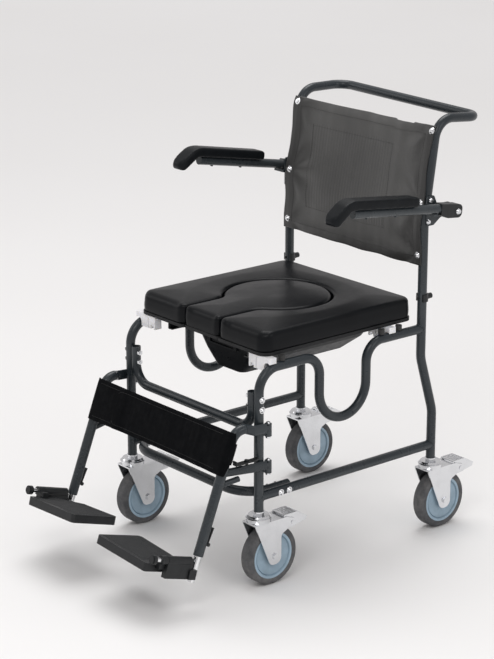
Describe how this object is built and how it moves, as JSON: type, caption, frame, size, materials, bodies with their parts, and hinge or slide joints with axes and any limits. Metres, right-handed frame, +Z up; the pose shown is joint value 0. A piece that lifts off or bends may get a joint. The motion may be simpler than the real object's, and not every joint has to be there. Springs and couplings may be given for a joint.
{
  "type": "wheeled commode chair",
  "caption": "Wheeled commode chair: tubular frame, sling back, padded seat with a lift-out infill over a pan, fold-up arms, swing-away footrests and braked casters.",
  "frame": {"origin": "on the floor, at the centre of the footprint's bounding box", "axes": "+Z up, -Y towards the front of the chair (footplates), +X towards the sitter's left"},
  "size_m": [0.536, 0.9048, 0.9244],
  "materials": {
    "frame_paint": "semi-gloss dark grey powder coat",
    "zinc": "bright zinc plate",
    "chrome": "polished chrome plate",
    "hub_plastic": "light blue-grey moulded nylon",
    "tyre_rubber": "dark grey solid rubber",
    "sling_vinyl": "dark grey coated fabric",
    "seat_vinyl": "black grained vinyl over foam",
    "board_plastic": "black moulded board",
    "black_plastic": "black moulded nylon",
    "pad_foam": "dark integral-skin foam",
    "clip_nylon": "white nylon",
    "pan_plastic": "dark grey moulded polypropylene",
    "strap_fabric": "black woven strap",
    "rubber": "black rubber"
  },
  "bodies": {
    "frame": {"side_frame_left": "frame_paint", "side_frame_right": "frame_paint", "front_cross_tube": "frame_paint", "base_cross_tube": "frame_paint", "frame_bolts": "zinc", "caster_stems": "zinc", "footrest_pivot_brackets": "frame_paint", "back_post_sleeves": "zinc"},
    "backrest": {"back_frame": "frame_paint", "back_sling": "sling_vinyl", "sling_screws": "zinc", "lock_collars": "black_plastic", "armrest_brackets": "frame_paint", "armrest_bolts": "zinc"},
    "seat": {"seat_board": "board_plastic", "seat_cushion": "seat_vinyl", "seat_clips": "clip_nylon", "seat_bumpers": "rubber", "pan_rails": "black_plastic"},
    "infill": {"infill_board": "board_plastic", "infill_cushion": "seat_vinyl"},
    "pan": {"commode_pan": "pan_plastic"},
    "lock_pin_left": {"lock_pin_left": "black_plastic"},
    "armrest_left": {"armrest_tube_left": "frame_paint", "armrest_block_left": "black_plastic", "armrest_pad_left": "pad_foam"},
    "lock_pin_right": {"lock_pin_right": "black_plastic"},
    "armrest_right": {"armrest_tube_right": "frame_paint", "armrest_block_right": "black_plastic", "armrest_pad_right": "pad_foam"},
    "caster_front_left": {"caster_fork_front_left": "zinc"},
    "wheel_front_left": {"wheel_hub_front_left": "hub_plastic", "tyre_front_left": "tyre_rubber"},
    "brake_front_left": {"brake_pedal_front_left": "black_plastic"},
    "caster_front_right": {"caster_fork_front_right": "zinc"},
    "wheel_front_right": {"wheel_hub_front_right": "hub_plastic", "tyre_front_right": "tyre_rubber"},
    "brake_front_right": {"brake_pedal_front_right": "black_plastic"},
    "caster_rear_left": {"caster_fork_rear_left": "zinc"},
    "wheel_rear_left": {"wheel_hub_rear_left": "hub_plastic", "tyre_rear_left": "tyre_rubber"},
    "brake_rear_left": {"brake_pedal_rear_left": "black_plastic"},
    "caster_rear_right": {"caster_fork_rear_right": "zinc"},
    "wheel_rear_right": {"wheel_hub_rear_right": "hub_plastic", "tyre_rear_right": "tyre_rubber"},
    "brake_rear_right": {"brake_pedal_rear_right": "black_plastic"},
    "hanger_left": {"hanger_left": "frame_paint", "calf_strap": "strap_fabric"},
    "latch_left": {"latch_lever_left": "black_plastic"},
    "extension_left": {"footrest_extension_left": "chrome", "footrest_bracket_left": "black_plastic"},
    "footplate_left": {"footplate_left": "black_plastic"},
    "height_lever_left": {"height_lever_left": "black_plastic"},
    "hanger_right": {"hanger_right": "frame_paint", "calf_strap_end": "strap_fabric"},
    "latch_right": {"latch_lever_right": "black_plastic"},
    "extension_right": {"footrest_extension_right": "chrome", "footrest_bracket_right": "black_plastic"},
    "footplate_right": {"footplate_right": "black_plastic"},
    "height_lever_right": {"height_lever_right": "black_plastic"}
  },
  "joints": [
    {"name": "backrest_lift", "type": "slide", "parent": "frame", "child": "backrest", "axis": [0, 0, 1], "range_m": [0, 0.06]},
    {"name": "seat_lift", "type": "slide", "parent": "frame", "child": "seat", "axis": [0, 0, 1], "range_m": [0, 0.06]},
    {"name": "infill_lift", "type": "slide", "parent": "seat", "child": "infill", "axis": [0, 0, 1], "range_m": [0, 0.08]},
    {"name": "pan_slide", "type": "slide", "parent": "seat", "child": "pan", "axis": [0, -1, 0], "range_m": [0, 0.36]},
    {"name": "lock_pin_left_pull", "type": "slide", "parent": "backrest", "child": "lock_pin_left", "axis": [0, 1, 0], "range_m": [0, 0.006], "stiffness_N_per_m": 400, "springref_m": -0.01},
    {"name": "armrest_left_fold", "type": "hinge", "parent": "backrest", "child": "armrest_left", "pos_m": [0.25, 0.3414, 0.721], "axis": [-1, 0, 0], "range_deg": [0, 95]},
    {"name": "lock_pin_right_pull", "type": "slide", "parent": "backrest", "child": "lock_pin_right", "axis": [0, 1, 0], "range_m": [0, 0.006], "stiffness_N_per_m": 400, "springref_m": -0.01},
    {"name": "armrest_right_fold", "type": "hinge", "parent": "backrest", "child": "armrest_right", "pos_m": [-0.25, 0.3414, 0.727], "axis": [-1, 0, 0], "range_deg": [0, 95]},
    {"name": "swivel_front_left", "type": "hinge", "parent": "frame", "child": "caster_front_left", "pos_m": [0.215, -0.1646, 0.15], "axis": [0, 0, 1], "continuous": true},
    {"name": "wheel_front_left_spin", "type": "hinge", "parent": "caster_front_left", "child": "wheel_front_left", "pos_m": [0.215, -0.1376, 0.0635], "axis": [1, 0, 0], "continuous": true},
    {"name": "brake_front_left_press", "type": "hinge", "parent": "caster_front_left", "child": "brake_front_left", "pos_m": [0.215, -0.0906, 0.1275], "axis": [-1, 0, 0], "range_deg": [0, 12]},
    {"name": "swivel_front_right", "type": "hinge", "parent": "frame", "child": "caster_front_right", "pos_m": [-0.215, -0.1646, 0.15], "axis": [0, 0, 1], "continuous": true},
    {"name": "wheel_front_right_spin", "type": "hinge", "parent": "caster_front_right", "child": "wheel_front_right", "pos_m": [-0.215, -0.1376, 0.0635], "axis": [1, 0, 0], "continuous": true},
    {"name": "brake_front_right_press", "type": "hinge", "parent": "caster_front_right", "child": "brake_front_right", "pos_m": [-0.215, -0.0906, 0.1275], "axis": [-1, 0, 0], "range_deg": [0, 12]},
    {"name": "swivel_rear_left", "type": "hinge", "parent": "frame", "child": "caster_rear_left", "pos_m": [0.215, 0.3239, 0.15], "axis": [0, 0, 1], "continuous": true},
    {"name": "wheel_rear_left_spin", "type": "hinge", "parent": "caster_rear_left", "child": "wheel_rear_left", "pos_m": [0.215, 0.3509, 0.0635], "axis": [1, 0, 0], "continuous": true},
    {"name": "brake_rear_left_press", "type": "hinge", "parent": "caster_rear_left", "child": "brake_rear_left", "pos_m": [0.215, 0.3979, 0.1275], "axis": [-1, 0, 0], "range_deg": [0, 12]},
    {"name": "swivel_rear_right", "type": "hinge", "parent": "frame", "child": "caster_rear_right", "pos_m": [-0.215, 0.3239, 0.15], "axis": [0, 0, 1], "continuous": true},
    {"name": "wheel_rear_right_spin", "type": "hinge", "parent": "caster_rear_right", "child": "wheel_rear_right", "pos_m": [-0.215, 0.3509, 0.0635], "axis": [1, 0, 0], "continuous": true},
    {"name": "brake_rear_right_press", "type": "hinge", "parent": "caster_rear_right", "child": "brake_rear_right", "pos_m": [-0.215, 0.3979, 0.1275], "axis": [-1, 0, 0], "range_deg": [0, 12]},
    {"name": "footrest_left_swing", "type": "hinge", "parent": "frame", "child": "hanger_left", "pos_m": [0.224, -0.1476, 0.305], "axis": [0, 0, 1], "range_deg": [0, 100]},
    {"name": "latch_left_turn", "type": "hinge", "parent": "hanger_left", "child": "latch_left", "pos_m": [0.227, -0.2066, 0.283], "axis": [0, 0, 1], "range_deg": [0, 15], "stiffness_Nm_per_rad": 0.3, "springref_deg": -11.46},
    {"name": "footrest_left_height", "type": "slide", "parent": "hanger_left", "child": "extension_left", "axis": [0, -0.3633, -0.9317], "range_m": [-0.014, 0.026]},
    {"name": "height_lever_left_turn", "type": "hinge", "parent": "hanger_left", "child": "height_lever_left", "pos_m": [0.2177, -0.30108, 0.12837], "axis": [-1, 0, 0], "range_deg": [0, 55]},
    {"name": "footplate_left_flip", "type": "hinge", "parent": "extension_left", "child": "footplate_left", "pos_m": [0.219, -0.40469, 0.12276], "axis": [0, 0.9568, -0.2907], "range_deg": [0, 87]},
    {"name": "footrest_right_swing", "type": "hinge", "parent": "frame", "child": "hanger_right", "pos_m": [-0.224, -0.1476, 0.305], "axis": [0, 0, -1], "range_deg": [0, 100]},
    {"name": "latch_right_turn", "type": "hinge", "parent": "hanger_right", "child": "latch_right", "pos_m": [-0.227, -0.2066, 0.283], "axis": [0, 0, -1], "range_deg": [0, 15], "stiffness_Nm_per_rad": 0.3, "springref_deg": -11.46},
    {"name": "footrest_right_height", "type": "slide", "parent": "hanger_right", "child": "extension_right", "axis": [0, -0.3633, -0.9317], "range_m": [0, 0.04]},
    {"name": "height_lever_right_turn", "type": "hinge", "parent": "hanger_right", "child": "height_lever_right", "pos_m": [-0.2177, -0.30108, 0.12837], "axis": [-1, 0, 0], "range_deg": [0, 55]},
    {"name": "footplate_right_flip", "type": "hinge", "parent": "extension_right", "child": "footplate_right", "pos_m": [-0.219, -0.3996, 0.1358], "axis": [0, -0.9568, 0.2907], "range_deg": [0, 87]}
  ]
}
